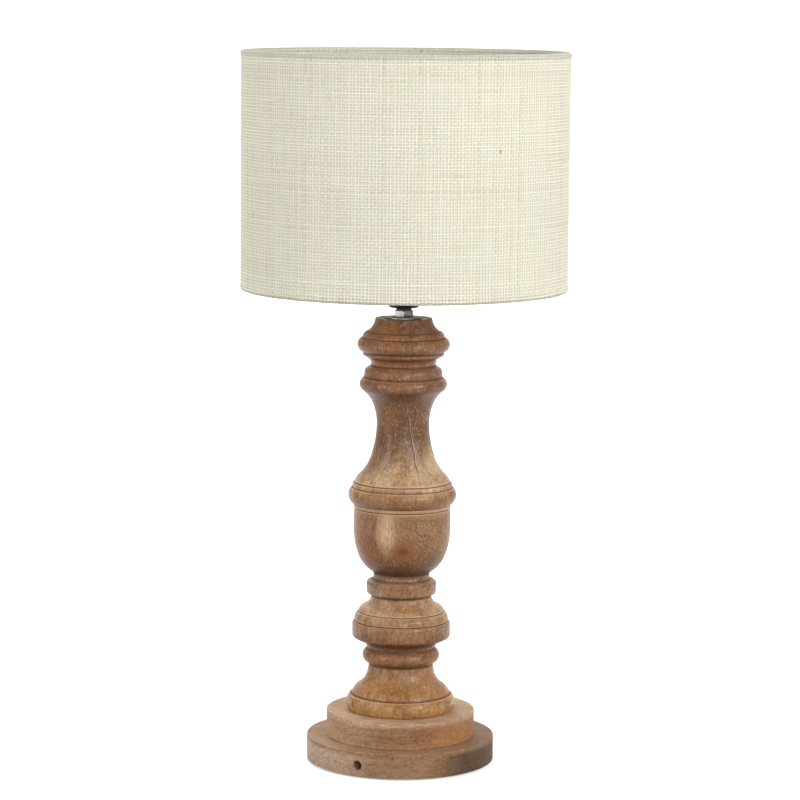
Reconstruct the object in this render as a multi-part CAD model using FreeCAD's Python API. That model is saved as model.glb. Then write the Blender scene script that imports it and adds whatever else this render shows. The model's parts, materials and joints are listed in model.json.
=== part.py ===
"""Table lamp: a turned wooden column on two stacked plinths, with a fabric drum shade.

Units are millimetres. The origin is the centre of the underside, +Z is up, and -Y is the front.
A hollow threaded rod runs up the middle and clamps the wooden pieces. The lampholder screws onto
its top end, two threaded rings on the lampholder clamp the shade's fitter, and the bulb screws in.
Threads are rings of their own depth and pitch, so that a threaded piece can turn in its place.
"""
import FreeCAD
import Part
import math
import os

from FreeCAD import Vector

os.makedirs("parts", exist_ok=True)

AXIS = Vector(0, 0, 1)

# ---------------------------------------------------------------- driving dimensions
FELT_T = 1.5                 # felt under the base
FELT_R = 82.0
LOWER_R = 88.0               # lower plinth disc
LOWER_T = 23.0
UPPER_R = 69.6               # upper plinth disc
UPPER_T = 24.0
COLUMN_H = 370.5             # turned column
WOOD_EDGE = 0.8              # sanded edges of the plinths

SHADE_R = 152.0              # outside of the shade's cloth: a 305 mm drum
SHADE_H = 221.0              # over both rims
SHADE_GAP = 26.2             # from the top of the column to the shade's bottom rim

ROD_R = 5.0                  # M10 x 1 hollow lamp rod
ROD_BORE_R = 3.6
COLUMN_BORE_R = 5.75
NUT_ACROSS_FLATS = 17.0
THREAD_PLAY = 0.05           # between the rod and what is screwed onto it

CORD_HOLE_R = 4.5            # cord outlet through the side of the lower plinth
CORD_HOLE_TURN = -26.6       # degrees from the front, towards -X
CORD_HOLE_UP = 10.4          # its centre above the wood's underside

# ---------------------------------------------------------------- levels, from the floor up
LOWER_Z = FELT_T
UPPER_Z = LOWER_Z + LOWER_T
COLUMN_Z = UPPER_Z + UPPER_T
COLUMN_TOP = COLUMN_Z + COLUMN_H
SHADE_Z = COLUMN_TOP + SHADE_GAP
SHADE_TOP = SHADE_Z + SHADE_H

CAVITY_R = 30.0              # hollow under the base, for the nut and the cord
CAVITY_TOP = LOWER_Z + 15.0
BASE_WASHER_R = 15.0
BASE_WASHER_T = 2.0
BASE_NUT_T = 6.0
BASE_NUT_TOP = CAVITY_TOP - BASE_WASHER_T
ROD_BOTTOM = BASE_NUT_TOP - BASE_NUT_T - 1.0

CAP_WASHER_R = 17.0          # domed washer on top of the column
CAP_WASHER_T = 2.0
CAP_WASHER_RIM = 1.1
THIN_NUT_T = 5.0
HOLDER_Z = COLUMN_TOP + CAP_WASHER_T + THIN_NUT_T
ROD_TOP = HOLDER_Z + 10.0

# ---------------------------------------------------------------- turned outlines
# An outline starts at (radius, height) and each step is (radius, height, bulge): a straight line
# where bulge is 0, and otherwise an arc that stands that far off its chord, outwards if positive.
# Heights are above the column's underside. Each stretch goes on from the one below it.

FOOT = [
    (48.8, 0.0),
    (48.4, 14.6, 2.6),       # wide bottom bead
    (46.7, 15.1, 0),         # quirk
    (41.0, 23.3, 0.7),       # shoulder
    (31.2, 38.2, -2.15),     # sweep in to the waist
    (30.4, 44.0, -0.1),
]
BALUSTER = [
    (31.3, 44.9, 0),
    (32.8, 57.9, 4.3),       # half-round bead
    (32.2, 59.4, 0),
    (39.6, 66.3, -1.5),      # cove under the band
    (44.6, 68.9, 0),
    (46.1, 72.0, 0.5),
    (46.1, 80.8, 0.15),      # wide band
    (45.0, 84.3, 0.5),
    (43.7, 84.9, 0),         # quirk
    (44.2, 85.9, 0),
    (41.4, 93.3, 0.9),       # ovolo
    (40.0, 93.8, 0),         # quirk
    (40.4, 94.6, 0),
    (36.0, 99.4, 0.7),
    (28.4, 107.4, -1.6),     # cove up to the collar
    (28.2, 109.8, 0),
    (31.4, 110.5, 0),        # square collar
    (32.7, 112.6, 0.3),
    (32.9, 118.8, 0),
    (31.6, 123.0, 0.6),
    (27.3, 125.1, 0),
    (26.4, 128.4, -0.3),
    (26.7, 131.0, 0),
]
URN = [
    (40.5, 146.4, 1.7),      # round bottom of the urn
    (45.7, 174.0, 1.35),
    (45.1, 191.9, 0.15),
    (44.1, 192.4, 0),        # quirk
    (45.6, 193.0, 0),
    (46.1, 195.7, 0),        # fillet
    (45.3, 196.2, 0),        # quirk
    (46.9, 196.6, 0),
    (48.3, 211.3, 3.1),      # torus
    (46.8, 211.9, 0),        # quirk
    (46.5, 215.8, 0.35),     # small bead
    (44.4, 216.5, 0),        # quirk
]
NECK = [
    (45.0, 217.2, 0),
    (41.0, 223.4, 0.35),
    (29.3, 243.0, -1.65),    # long concave neck
    (24.7, 271.5, -1.05),
    (30.0, 294.2, -1.3),
    (37.6, 302.6, -0.4),
    (38.4, 314.2, 2.95),     # bead
    (36.9, 314.8, 0),
    (36.5, 320.0, 0),        # fillet
    (33.2, 324.6, 0.9),
    (30.4, 326.4, 0),
    (30.3, 328.0, 0),
    (35.2, 334.3, -1.1),     # cove
    (37.3, 335.3, 0),
    (38.1, 338.4, 0.4),      # lip
    (38.5, 339.1, 0),
    (39.8, 352.0, 4.1),      # torus
    (38.4, 352.6, 0),        # quirk
    (37.2, 356.4, 0.35),
    (35.4, 357.7, 0.2),
    (35.0, 357.6, 0),
    (26.7, 369.9, -1.75),    # top cove
    (26.1, COLUMN_H, 0.15),
]


# ---------------------------------------------------------------- shapes
def outline_edges(steps):
    """Edges of an outline in the XZ plane, from its first point to its last."""
    edges = []
    r0, z0 = steps[0][:2]
    for r1, z1, bulge in steps[1:]:
        start, end = Vector(r0, 0, z0), Vector(r1, 0, z1)
        if bulge:
            chord = end - start
            outwards = Vector(chord.z, 0, -chord.x).normalize()
            middle = (start + end) * 0.5 + outwards * bulge
            edges.append(Part.Arc(start, middle, end).toShape())
        else:
            edges.append(Part.LineSegment(start, end).toShape())
        r0, z0 = r1, z1
    return edges


def revolve(steps, lift=0.0):
    """Solid of revolution of a closed outline. A step without a bulge is straight."""
    full = [steps[0]] + [s if len(s) == 3 else (s[0], s[1], 0) for s in steps[1:]]
    if full[0][:2] != full[-1][:2]:
        full.append((full[0][0], full[0][1], 0))
    face = Part.Face(Part.Wire(outline_edges(full)))
    solid = face.revolve(Vector(0, 0, 0), AXIS, 360)
    solid.translate(Vector(0, 0, lift))
    return solid


def cylinder(radius, bottom, top, x=0.0, y=0.0):
    return Part.makeCylinder(radius, top - bottom, Vector(x, y, bottom), AXIS)


def tube(outer, inner, bottom, top):
    return cylinder(outer, bottom, top).cut(cylinder(inner, bottom - 1, top + 1))


def disc(radius, bottom, top, edge):
    """Wooden disc with both outer edges rounded over."""
    body = cylinder(radius, bottom, top)
    rims = [e for e in body.Edges if isinstance(e.Curve, Part.Circle)]
    return body.makeFillet(edge, rims)


def hexagon(across_flats, bottom, top):
    """Hexagonal bar with a corner to the front."""
    corner_r = across_flats / math.sqrt(3)
    points = []
    for i in range(7):
        a = math.radians(60 * i - 90)
        points.append(Vector(corner_r * math.cos(a), corner_r * math.sin(a), bottom))
    return Part.Face(Part.makePolygon(points)).extrude(Vector(0, 0, top - bottom))


def nut(bottom, top):
    """Hexagonal nut with its corners turned off on both faces."""
    corner_r = NUT_ACROSS_FLATS / math.sqrt(3)
    chamfer = 1.0
    turned = revolve([
        (0, bottom), (corner_r - chamfer, bottom), (corner_r + 0.05, bottom + 0.6),
        (corner_r + 0.05, top - 0.6), (corner_r - chamfer, top), (0, top),
    ])
    body = hexagon(NUT_ACROSS_FLATS, bottom, top).common(turned)
    return body.cut(cylinder(ROD_R + THREAD_PLAY, bottom - 1, top + 1))


def around(shape, count, first=0.0):
    """Copies of a shape turned evenly about the lamp's axis, as a list of solids."""
    copies = []
    for i in range(count):
        copy = shape.copy()
        copy.rotate(Vector(0, 0, 0), AXIS, first + 360.0 * i / count)
        copies.append(copy)
    return copies


def save(node, *shapes):
    """Writes one node as a STEP file of separate solids, and prints its volume."""
    solids = [s for shape in shapes for s in shape.Solids]
    for s in solids:
        assert s.isValid() and s.Volume > 0, node
    whole = solids[0] if len(solids) == 1 else Part.makeCompound(solids)
    whole.exportStep("parts/" + node + ".step")
    volume = sum(s.Volume for s in solids)
    print("%-24s %2d solids %12.1f mm3" % (node, len(solids), volume))


# ---------------------------------------------------------------- base
SCREW_CIRCLE_R = 50.0
SCREW_R = 2.0
SCREW_HEAD_R = 4.0
SCREW_LENGTH = 38.0
SCREW_COUNT = 4
SCREW_PLAY = 0.1


def wood_screw(grow=0.0):
    """Countersunk wood screw, head down, under the base; grow widens it for its hole."""
    bottom = LOWER_Z + 0.5
    if grow:
        bottom = LOWER_Z - 1.0
    neck = LOWER_Z + 3.0
    tip = LOWER_Z + 0.5 + SCREW_LENGTH
    return revolve([
        (0, bottom), (SCREW_HEAD_R + grow, bottom), (SCREW_HEAD_R + grow, LOWER_Z + 0.9),
        (SCREW_R + grow, neck), (SCREW_R + grow, tip - 4), (0.3 + grow, tip + grow),
        (0, tip + grow),
    ])


def screw_circle(grow=0.0):
    screw = wood_screw(grow)
    screw.translate(Vector(SCREW_CIRCLE_R, 0, 0))
    return around(screw, SCREW_COUNT, 45.0)


def cord_hole():
    """Radial drilling from outside the lower plinth into the cavity under it."""
    a = math.radians(CORD_HOLE_TURN - 90)
    way = Vector(math.cos(a), math.sin(a), 0)
    start = way * (CAVITY_R * 0.5) + Vector(0, 0, LOWER_Z + CORD_HOLE_UP)
    return Part.makeCylinder(CORD_HOLE_R, LOWER_R, start, way)


def make_base():
    save("felt_pad", cylinder(FELT_R, 0, FELT_T))
    lower = disc(LOWER_R, LOWER_Z, UPPER_Z, WOOD_EDGE)
    lower = lower.cut(cylinder(CAVITY_R, LOWER_Z - 1, CAVITY_TOP))
    lower = lower.cut(cylinder(COLUMN_BORE_R, LOWER_Z, UPPER_Z + 1))
    lower = lower.cut(cord_hole())
    upper = disc(UPPER_R, UPPER_Z, COLUMN_Z, WOOD_EDGE)
    upper = upper.cut(cylinder(COLUMN_BORE_R, UPPER_Z - 1, COLUMN_Z + 1))
    for hole in screw_circle(grow=SCREW_PLAY):
        lower = lower.cut(hole)
        upper = upper.cut(hole)
    save("lower_plinth", lower)
    save("upper_plinth", upper)
    save("plinth_screws", *screw_circle())
    save("base_washer", tube(BASE_WASHER_R, ROD_R, BASE_NUT_TOP, CAVITY_TOP))
    save("base_nut", nut(BASE_NUT_TOP - BASE_NUT_T, BASE_NUT_TOP))


# ---------------------------------------------------------------- column
def turned_column():
    """One turning from foot to top, bored from end to end for the rod."""
    body = revolve([(0, 0)] + FOOT + BALUSTER + URN + NECK + [(0, COLUMN_H)])
    body = body.cut(cylinder(COLUMN_BORE_R, -1, COLUMN_H + 1))
    body.translate(Vector(0, 0, COLUMN_Z))
    return body


def cap_washer():
    """Washer on the column's top, slightly domed, under the nut."""
    edge_z = COLUMN_TOP + CAP_WASHER_RIM
    top_z = COLUMN_TOP + CAP_WASHER_T
    bore_r = ROD_R + THREAD_PLAY
    return revolve([
        (bore_r, COLUMN_TOP), (CAP_WASHER_R - 0.4, COLUMN_TOP), (CAP_WASHER_R, COLUMN_TOP + 0.4),
        (CAP_WASHER_R, edge_z - 0.2), (CAP_WASHER_R - 0.3, edge_z, 0.1),
        (NUT_ACROSS_FLATS * 0.6, top_z, 0.15), (bore_r, top_z),
    ])


def make_column():
    save("turned_column", turned_column())
    save("threaded_rod", tube(ROD_R, ROD_BORE_R, ROD_BOTTOM, ROD_TOP))
    save("cap_washer", cap_washer())
    save("cap_nut", nut(COLUMN_TOP + CAP_WASHER_T, HOLDER_Z))


# ---------------------------------------------------------------- lampholder, E27
CAP_R = 19.8                 # lower half of the lampholder
CAP_TOP = HOLDER_Z + 24.0
CAP_BORE_R = 17.8
CAP_LEDGE_R = 16.6
LEDGE_DEPTH = 7.0            # ledge for the insert's flange, below the cap's rim
FLANGE_T = 2.0
SHELL_R = 18.8               # threaded upper half, to the thread's root
SHELL_CREST_R = 19.5
SHELL_BORE_R = 16.6
SHELL_TOP = CAP_TOP + 36.0
MOUTH_R = 15.6
THREAD_PITCH = 3.0
SCREW_SHELL_R = 13.7         # inside of the brass screw shell
SCREW_SHELL_WALL = 0.5
LAMP_PITCH = 3.6             # lamp thread
INSERT_TOP = CAP_TOP + 7.0
INSERT_Z = CAP_TOP - 12.0
WELL_R = 14.3
WELL_FLOOR = INSERT_TOP - 3.0

RING_R = 25.0                # the two threaded rings that hold the shade
RING_T = 6.0
RING_PLAY = 0.3
FITTER_T = 1.6
FITTER_PLAY = 0.1            # between the fitter plate and each ring
FITTER_Z = SHADE_Z + 19.0    # underside of the fitter plate


def holder_cap():
    """Lower half: a domed bakelite cap with a threaded entry for the rod."""
    z = HOLDER_Z
    ledge = CAP_TOP - LEDGE_DEPTH
    entry_r = ROD_R + THREAD_PLAY
    return revolve([
        (entry_r, z), (7.4, z), (7.4, z + 1.6), (13.6, z + 3.0, -0.3), (14.4, z + 4.0, 0.15),
        (17.6, z + 5.6, -0.1), (CAP_R, z + 9.0, 0.6), (CAP_R, CAP_TOP), (CAP_BORE_R, CAP_TOP),
        (CAP_BORE_R, ledge), (CAP_LEDGE_R, ledge), (CAP_LEDGE_R, z + 9.6), (12.4, z + 6.0),
        (8.4, z + 5.4), (8.4, ROD_TOP), (entry_r, ROD_TOP),
    ])


def lock_screw(grow=0.0):
    """Grub screw through the side of the cap's entry, which stops it turning on the rod."""
    z = HOLDER_Z + 7.3
    body = Part.makeCylinder(1.25 + grow, 3.4, Vector(0, ROD_R, z), Vector(0, 1, 0))
    if grow:
        return body
    slot = Part.makeBox(3, 0.8, 0.5, Vector(-1.5, ROD_R + 2.6, z - 0.25))
    return body.cut(slot)


def holder_shell():
    """Upper half: a sleeve with an outside thread, an inturned mouth, and a spigot in the cap."""
    spigot = CAP_TOP - LEDGE_DEPTH + FLANGE_T
    steps = [(SHELL_BORE_R, spigot), (CAP_BORE_R, spigot), (CAP_BORE_R, CAP_TOP),
             (CAP_R, CAP_TOP), (CAP_R, CAP_TOP + 2.0)]
    z = CAP_TOP + THREAD_PITCH
    while z + THREAD_PITCH < SHELL_TOP - 1.5:
        steps += [(SHELL_R, z), (SHELL_CREST_R, z + 1.0, 0.1), (SHELL_CREST_R, z + 1.6),
                  (SHELL_R, z + 2.6, 0.1)]
        z += THREAD_PITCH
    steps += [(SHELL_R, SHELL_TOP - 0.8), (SHELL_R - 0.8, SHELL_TOP, 0.3), (MOUTH_R, SHELL_TOP),
              (MOUTH_R, SHELL_TOP - 1.6), (SHELL_BORE_R, SHELL_TOP - 1.6)]
    return revolve(steps)


TERMINAL_X = 10.5
TERMINAL_SCREW_R = 1.6
CONTACT_W = 6.0


def holder_insert():
    """Ceramic core with a flange, a well for the screw shell, and holes for wires and screws."""
    flange = CAP_TOP - LEDGE_DEPTH
    body = revolve([
        (0, INSERT_Z), (14.6, INSERT_Z), (15.0, INSERT_Z + 0.4), (15.0, flange),
        (CAP_BORE_R - 0.2, flange), (CAP_BORE_R - 0.2, flange + FLANGE_T),
        (SHELL_BORE_R - 0.2, flange + FLANGE_T), (SHELL_BORE_R - 0.2, INSERT_TOP),
        (WELL_R, INSERT_TOP), (WELL_R, WELL_FLOOR), (0, WELL_FLOOR),
    ])
    for side in (-1, 1):
        hole = cylinder(TERMINAL_SCREW_R, INSERT_Z - 1, INSERT_Z + 6, side * TERMINAL_X)
        body = body.cut(hole)
    return body.cut(cylinder(2.5, INSERT_Z - 1, INSERT_TOP + 1, 0, 6.2))


def terminal_screws():
    """Two cheese-head screws, heads down, in the underside of the insert."""
    screws = []
    for side in (-1, 1):
        x = side * TERMINAL_X
        head = cylinder(2.8, INSERT_Z - 1.9, INSERT_Z, x)
        head = head.cut(Part.makeBox(6, 0.8, 0.8, Vector(x - 3, -0.4, INSERT_Z - 1.95)))
        screws.append(head.fuse(cylinder(TERMINAL_SCREW_R, INSERT_Z, INSERT_Z + 5.5, x)))
    return screws


def screw_shell():
    """Brass sleeve with the rounded lamp thread rolled into it, and a flange to rivet it by."""
    bottom, top = WELL_FLOOR, SHELL_TOP - 5.5
    outside = []
    inside = []
    z = bottom + 3.0
    while z + LAMP_PITCH < top - 1.0:
        for wall, r in ((inside, SCREW_SHELL_R), (outside, SCREW_SHELL_R + SCREW_SHELL_WALL)):
            wall.append((r, z, 0))
            wall.append((r, z + LAMP_PITCH - 0.4, 0.5))
        z += LAMP_PITCH
    outer_r = SCREW_SHELL_R + SCREW_SHELL_WALL
    up = outline_edges([(outer_r, bottom)] + outside + [(outer_r, top, 0), (SCREW_SHELL_R, top, 0)])
    floor = bottom + SCREW_SHELL_WALL
    flange = outline_edges([(SCREW_SHELL_R, floor), (9.5, floor, 0), (9.5, bottom, 0),
                            (outer_r, bottom, 0)])
    down = outline_edges([(SCREW_SHELL_R, floor)] + inside + [(SCREW_SHELL_R, top, 0)])
    wire = Part.Wire(Part.__sortEdges__(up + flange + down))
    return Part.Face(wire).revolve(Vector(0, 0, 0), AXIS, 360)


def centre_contact():
    """Sprung brass tongue that rises towards the bulb's tip."""
    z = WELL_FLOOR
    side = [(-8.0, 0.0), (-2.0, 0.0), (4.2, 2.6), (4.2, 3.2), (-2.2, 0.6), (-8.0, 0.6), (-8.0, 0.0)]
    points = [Vector(x, -CONTACT_W / 2, z + up) for x, up in side]
    return Part.Face(Part.makePolygon(points)).extrude(Vector(0, CONTACT_W, 0))


def shade_ring(bottom):
    """Threaded ring with a knurled rim."""
    body = tube(RING_R, SHELL_CREST_R + RING_PLAY, bottom, bottom + RING_T)
    notch = cylinder(0.9, bottom + 1.0, bottom + RING_T - 1.0, RING_R + 0.35)
    return body.cut(Part.makeCompound(around(notch, 36)))


def make_lampholder():
    cap = holder_cap().cut(lock_screw(grow=0.01))
    save("holder_cap", cap)
    save("holder_lock_screw", lock_screw())
    save("holder_shell", holder_shell())
    save("holder_insert", holder_insert())
    save("terminal_screws", *terminal_screws())
    save("screw_shell", screw_shell())
    save("centre_contact", centre_contact())
    save("lower_shade_ring", shade_ring(FITTER_Z - FITTER_PLAY - RING_T))
    save("upper_shade_ring", shade_ring(FITTER_Z + FITTER_T + FITTER_PLAY))


# ---------------------------------------------------------------- shade
CLOTH_T = 1.0
LINER_T = 0.6
HOOP_WIRE_R = 2.0
RIM_R = 3.1                  # rolled rim: cloth wrapped round the hoop wire
RIM_PROUD = 0.7              # how far the rim stands out of the cloth
RIM_CENTRE_R = SHADE_R + RIM_PROUD - RIM_R
HEM_DROP = 14.0              # the hem's turn-in on the inside of the shade
HEM_T = 0.8
LINER_R = SHADE_R - CLOTH_T
ARM_WIRE_R = 1.5
ARM_COUNT = 3
FITTER_R = 31.0
FITTER_BORE_R = 20.4
ARM_IN_R = 26.2
ARM_BEND = 8.0
LOW_HOOP_Z = SHADE_Z + RIM_R
HIGH_HOOP_Z = SHADE_TOP - RIM_R


def hoop(z):
    return Part.makeTorus(RIM_CENTRE_R, HOOP_WIRE_R, Vector(0, 0, z), AXIS)


def hem(z_centre, up):
    """Rolled rim round a hoop, with its turn-in against the liner; up is 1 at the top rim."""
    c = RIM_CENTRE_R
    tail_r = LINER_R - LINER_T
    roll = Part.makeTorus(c, RIM_R, Vector(0, 0, z_centre), AXIS)
    ends = sorted([z_centre, z_centre - up * HEM_DROP])
    tail = tube(tail_r, tail_r - HEM_T, ends[0], ends[1])
    wall_ends = sorted([z_centre - up * HOOP_WIRE_R, z_centre - up * (RIM_R + 1)])
    walls = tube(SHADE_R, tail_r, wall_ends[0], wall_ends[1])
    return roll.fuse(tail).removeSplitter().cut(walls).cut(hoop(z_centre))


def fitter_arm():
    """Wire arm: out along the top of the fitter plate, then down the inside of the bottom hoop."""
    z_out = FITTER_Z + FITTER_T + ARM_WIRE_R
    r_down = RIM_CENTRE_R - HOOP_WIRE_R - ARM_WIRE_R
    short = ARM_BEND * (1 - math.sqrt(0.5))
    start = Vector(ARM_IN_R, 0, z_out)
    bend_start = Vector(r_down - ARM_BEND, 0, z_out)
    bend_middle = Vector(r_down - short, 0, z_out - short)
    bend_end = Vector(r_down, 0, z_out - ARM_BEND)
    end = Vector(r_down, 0, LOW_HOOP_Z - HOOP_WIRE_R / 2)
    path = Part.Wire([
        Part.LineSegment(start, bend_start).toShape(),
        Part.Arc(bend_start, bend_middle, bend_end).toShape(),
        Part.LineSegment(bend_end, end).toShape(),
    ])
    section = Part.Wire([Part.makeCircle(ARM_WIRE_R, start, Vector(1, 0, 0))])
    return path.makePipeShell([section], True, True)


def make_shade():
    arms = around(fitter_arm(), ARM_COUNT, 90.0)
    inner_r = LINER_R - LINER_T
    low, high = LOW_HOOP_Z + HOOP_WIRE_R, HIGH_HOOP_Z - HOOP_WIRE_R
    save("shade_cloth", tube(SHADE_R, LINER_R, low, high))
    save("shade_liner", tube(LINER_R, inner_r, low, high))
    save("top_hoop", hoop(HIGH_HOOP_Z))
    save("bottom_hoop", hoop(LOW_HOOP_Z))
    save("top_hem", hem(HIGH_HOOP_Z, 1))
    save("bottom_hem", hem(LOW_HOOP_Z, -1).cut(Part.makeCompound(arms)))
    save("fitter_plate", tube(FITTER_R, FITTER_BORE_R, FITTER_Z, FITTER_Z + FITTER_T))
    save("fitter_arms", *arms)


# ---------------------------------------------------------------- bulb, E27
BULB_Z = INSERT_TOP + 0.5            # tip of the bulb, just above the centre contact
BULB_THREAD_R = 12.4
BULB_CREST_R = 13.1
BULB_BORE_R = 11.2
TIP_R = 3.5
GLOBE_R = 30.0
GLOBE_WALL = 1.2
BULB_H = 108.0
NECK_R = 26.6                        # where the housing meets the globe
NECK_UP = 58.0
HOUSING_WALL = 2.0
BOARD_R = 25.2
BOARD_T = 1.0
DIODE_COUNT = 10


def bulb_cap():
    """Screw cap: a drawn metal shell with the rounded lamp thread."""
    z = BULB_Z
    steps = [(BULB_BORE_R, z + 5.0), (BULB_BORE_R + 0.3, z + 5.0), (BULB_THREAD_R, z + 6.0)]
    for turn in range(4):
        low = z + 6.6 + LAMP_PITCH * turn
        steps += [(BULB_THREAD_R, low), (BULB_THREAD_R, low + 3.0, 0.7)]
    steps += [(BULB_THREAD_R, z + 22.4), (BULB_CREST_R, z + 23.0), (BULB_CREST_R, z + 26.0)]
    return revolve(steps + [(BULB_BORE_R, z + 26.0)])


def bulb_insulator():
    """Black glass ring between the cap's shell and its tip."""
    z = BULB_Z
    return revolve([
        (TIP_R, z + 1.6), (4.6, z + 1.6), (BULB_BORE_R, z + 5.0, 0.8), (BULB_BORE_R, z + 6.4),
        (TIP_R, z + 6.4),
    ])


def bulb_tip():
    """Solder contact at the end of the cap."""
    z = BULB_Z
    return revolve([(0, z), (2.4, z + 0.4, 0.1), (TIP_R, z + 1.5, 0.2), (TIP_R, z + 2.4), (0, z + 2.4)])


def bulb_housing():
    """Plastic body that flares from the cap to the globe."""
    z = BULB_Z
    return revolve([
        (BULB_CREST_R, z + 24.5), (14.0, z + 26.0), (14.6, z + 30.5), (16.6, z + 33.5, 0.2),
        (NECK_R, z + NECK_UP, 0.9), (NECK_R - HOUSING_WALL, z + NECK_UP), (14.6, z + 33.5, -0.9),
        (BULB_CREST_R, z + 30.5),
    ])


def bulb_globe():
    """Opal dome: half a sphere, drawn in to the housing below it."""
    top = BULB_Z + BULB_H
    middle = top - GLOBE_R
    neck = BULB_Z + NECK_UP
    dome_bulge = GLOBE_R * (1 - math.sqrt(0.5))
    inner_r = GLOBE_R - GLOBE_WALL
    return revolve([
        (NECK_R - GLOBE_WALL, neck), (NECK_R, neck), (GLOBE_R, middle, 0.86),
        (0, top, dome_bulge), (0, top - GLOBE_WALL),
        (inner_r, middle, -inner_r * (1 - math.sqrt(0.5))), (NECK_R - GLOBE_WALL, neck, -0.86),
    ])


def make_bulb():
    board_z = BULB_Z + NECK_UP
    diode = Part.makeBox(2.8, 3.5, 0.7, Vector(14.0, -1.75, board_z + BOARD_T))
    save("bulb_cap", bulb_cap())
    save("bulb_insulator", bulb_insulator())
    save("bulb_tip", bulb_tip())
    save("bulb_housing", bulb_housing())
    save("bulb_globe", bulb_globe())
    save("led_board", cylinder(BOARD_R, board_z, board_z + BOARD_T))
    save("led_diodes", *around(diode, DIODE_COUNT))


make_base()
make_column()
make_lampholder()
make_shade()
make_bulb()
print("overall height %.1f mm, shade %.0f mm across" % (SHADE_TOP, 2 * (SHADE_R + RIM_PROUD)))
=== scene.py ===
"""Looks of the table lamp: woven drum shade, turned wooden column, two plinths, lampholder, bulb.

Lengths are metres in the CAD frame: +Z up, -Y the front, the origin under the middle of the base.
The shade's cloth is woven yarn by yarn, and the column is turned again from the CAD outline so
that its drying crack and the split in its foot can be cut into it.
"""
import json
import math

import bpy
import numpy as np
from mathutils import Matrix, Vector


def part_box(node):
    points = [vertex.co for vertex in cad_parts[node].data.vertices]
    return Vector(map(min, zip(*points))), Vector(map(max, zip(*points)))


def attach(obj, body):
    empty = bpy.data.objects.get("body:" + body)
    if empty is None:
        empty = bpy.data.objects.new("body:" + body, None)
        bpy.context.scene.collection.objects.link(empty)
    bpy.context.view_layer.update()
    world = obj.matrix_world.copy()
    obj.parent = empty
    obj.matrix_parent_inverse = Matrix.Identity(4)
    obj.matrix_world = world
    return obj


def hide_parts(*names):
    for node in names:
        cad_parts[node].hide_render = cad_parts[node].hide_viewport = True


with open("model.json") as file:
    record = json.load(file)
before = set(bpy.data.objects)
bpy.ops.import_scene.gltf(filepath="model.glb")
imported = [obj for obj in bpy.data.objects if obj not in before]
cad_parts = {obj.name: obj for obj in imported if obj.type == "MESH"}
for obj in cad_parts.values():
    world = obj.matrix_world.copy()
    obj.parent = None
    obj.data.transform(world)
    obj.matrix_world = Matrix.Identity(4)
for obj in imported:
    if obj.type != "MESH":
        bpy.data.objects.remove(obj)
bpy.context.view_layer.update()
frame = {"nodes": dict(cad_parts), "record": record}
MM = 0.001
RNG = np.random.default_rng(7)


# ---------------------------------------------------------------- node materials
def colour(red, green, blue):
    """Linear colour from screen values of 0 to 255."""
    values = []
    for v in (red, green, blue):
        v /= 255.0
        values.append(v / 12.92 if v <= 0.04045 else ((v + 0.055) / 1.055) ** 2.4)
    return (*values, 1.0)


class Look:
    """A material made of nodes. Each method adds a node and returns the socket that it gives."""

    def __init__(self, name, **shader):
        self.material = bpy.data.materials.new(name)
        self.material.use_nodes = True
        self.tree = self.material.node_tree
        self.tree.nodes.clear()
        self.shader = self.node("ShaderNodeBsdfPrincipled")
        self.set(**shader)
        output = self.node("ShaderNodeOutputMaterial")
        self.tree.links.new(self.shader.outputs[0], output.inputs["Surface"])
        self.place = self.node("ShaderNodeTexCoord").outputs["Object"]

    def node(self, kind, inputs=None, **settings):
        node = self.tree.nodes.new(kind)
        for name, value in settings.items():
            setattr(node, name, value)
        for key, value in (inputs or {}).items():
            self.put(node.inputs[key], value)
        return node

    def put(self, socket, value):
        if isinstance(value, bpy.types.NodeSocket):
            self.tree.links.new(value, socket)
        else:
            socket.default_value = value

    def set(self, **values):
        """Shader inputs by name, with _ for a space."""
        for name, value in values.items():
            self.put(self.shader.inputs[name.replace("_", " ")], value)

    def math(self, operation, a, b=0.0, clamp=False):
        inputs = {0: a, 1: b}
        return self.node("ShaderNodeMath", inputs, operation=operation, use_clamp=clamp).outputs[0]

    def scaled(self, vector, scale, move=(0, 0, 0), turn=(0, 0, 0)):
        inputs = {"Vector": vector, "Location": move, "Rotation": turn, "Scale": scale}
        return self.node("ShaderNodeMapping", inputs).outputs[0]

    def noise(self, vector, detail=2.0, rough=0.5):
        inputs = {"Vector": vector, "Scale": 1.0, "Detail": detail, "Roughness": rough}
        return self.node("ShaderNodeTexNoise", inputs).outputs["Fac"]

    def ramp(self, value, *stops):
        """Values or colours blended along 0 to 1; each stop is (position, value)."""
        node = self.node("ShaderNodeValToRGB", {"Fac": value})
        elements = node.color_ramp.elements
        while len(elements) < len(stops):
            elements.new(0.5)
        for element, (position, shade) in zip(elements, stops):
            element.position = position
            element.color = shade if hasattr(shade, "__len__") else (shade, shade, shade, 1.0)
        return node.outputs["Color"]

    def mix(self, factor, a, b, blend="MIX"):
        inputs = {0: factor, 6: a, 7: b}
        return self.node("ShaderNodeMix", inputs, data_type="RGBA", blend_type=blend).outputs[2]

    def parts(self, vector):
        return self.node("ShaderNodeSeparateXYZ", {0: vector}).outputs

    def attribute(self, name, output="Fac"):
        return self.node("ShaderNodeAttribute", attribute_name=name).outputs[output]

    def bump(self, height, distance, strength=1.0):
        inputs = {"Height": height, "Distance": distance, "Strength": strength}
        self.set(Normal=self.node("ShaderNodeBump", inputs).outputs[0])


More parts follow.
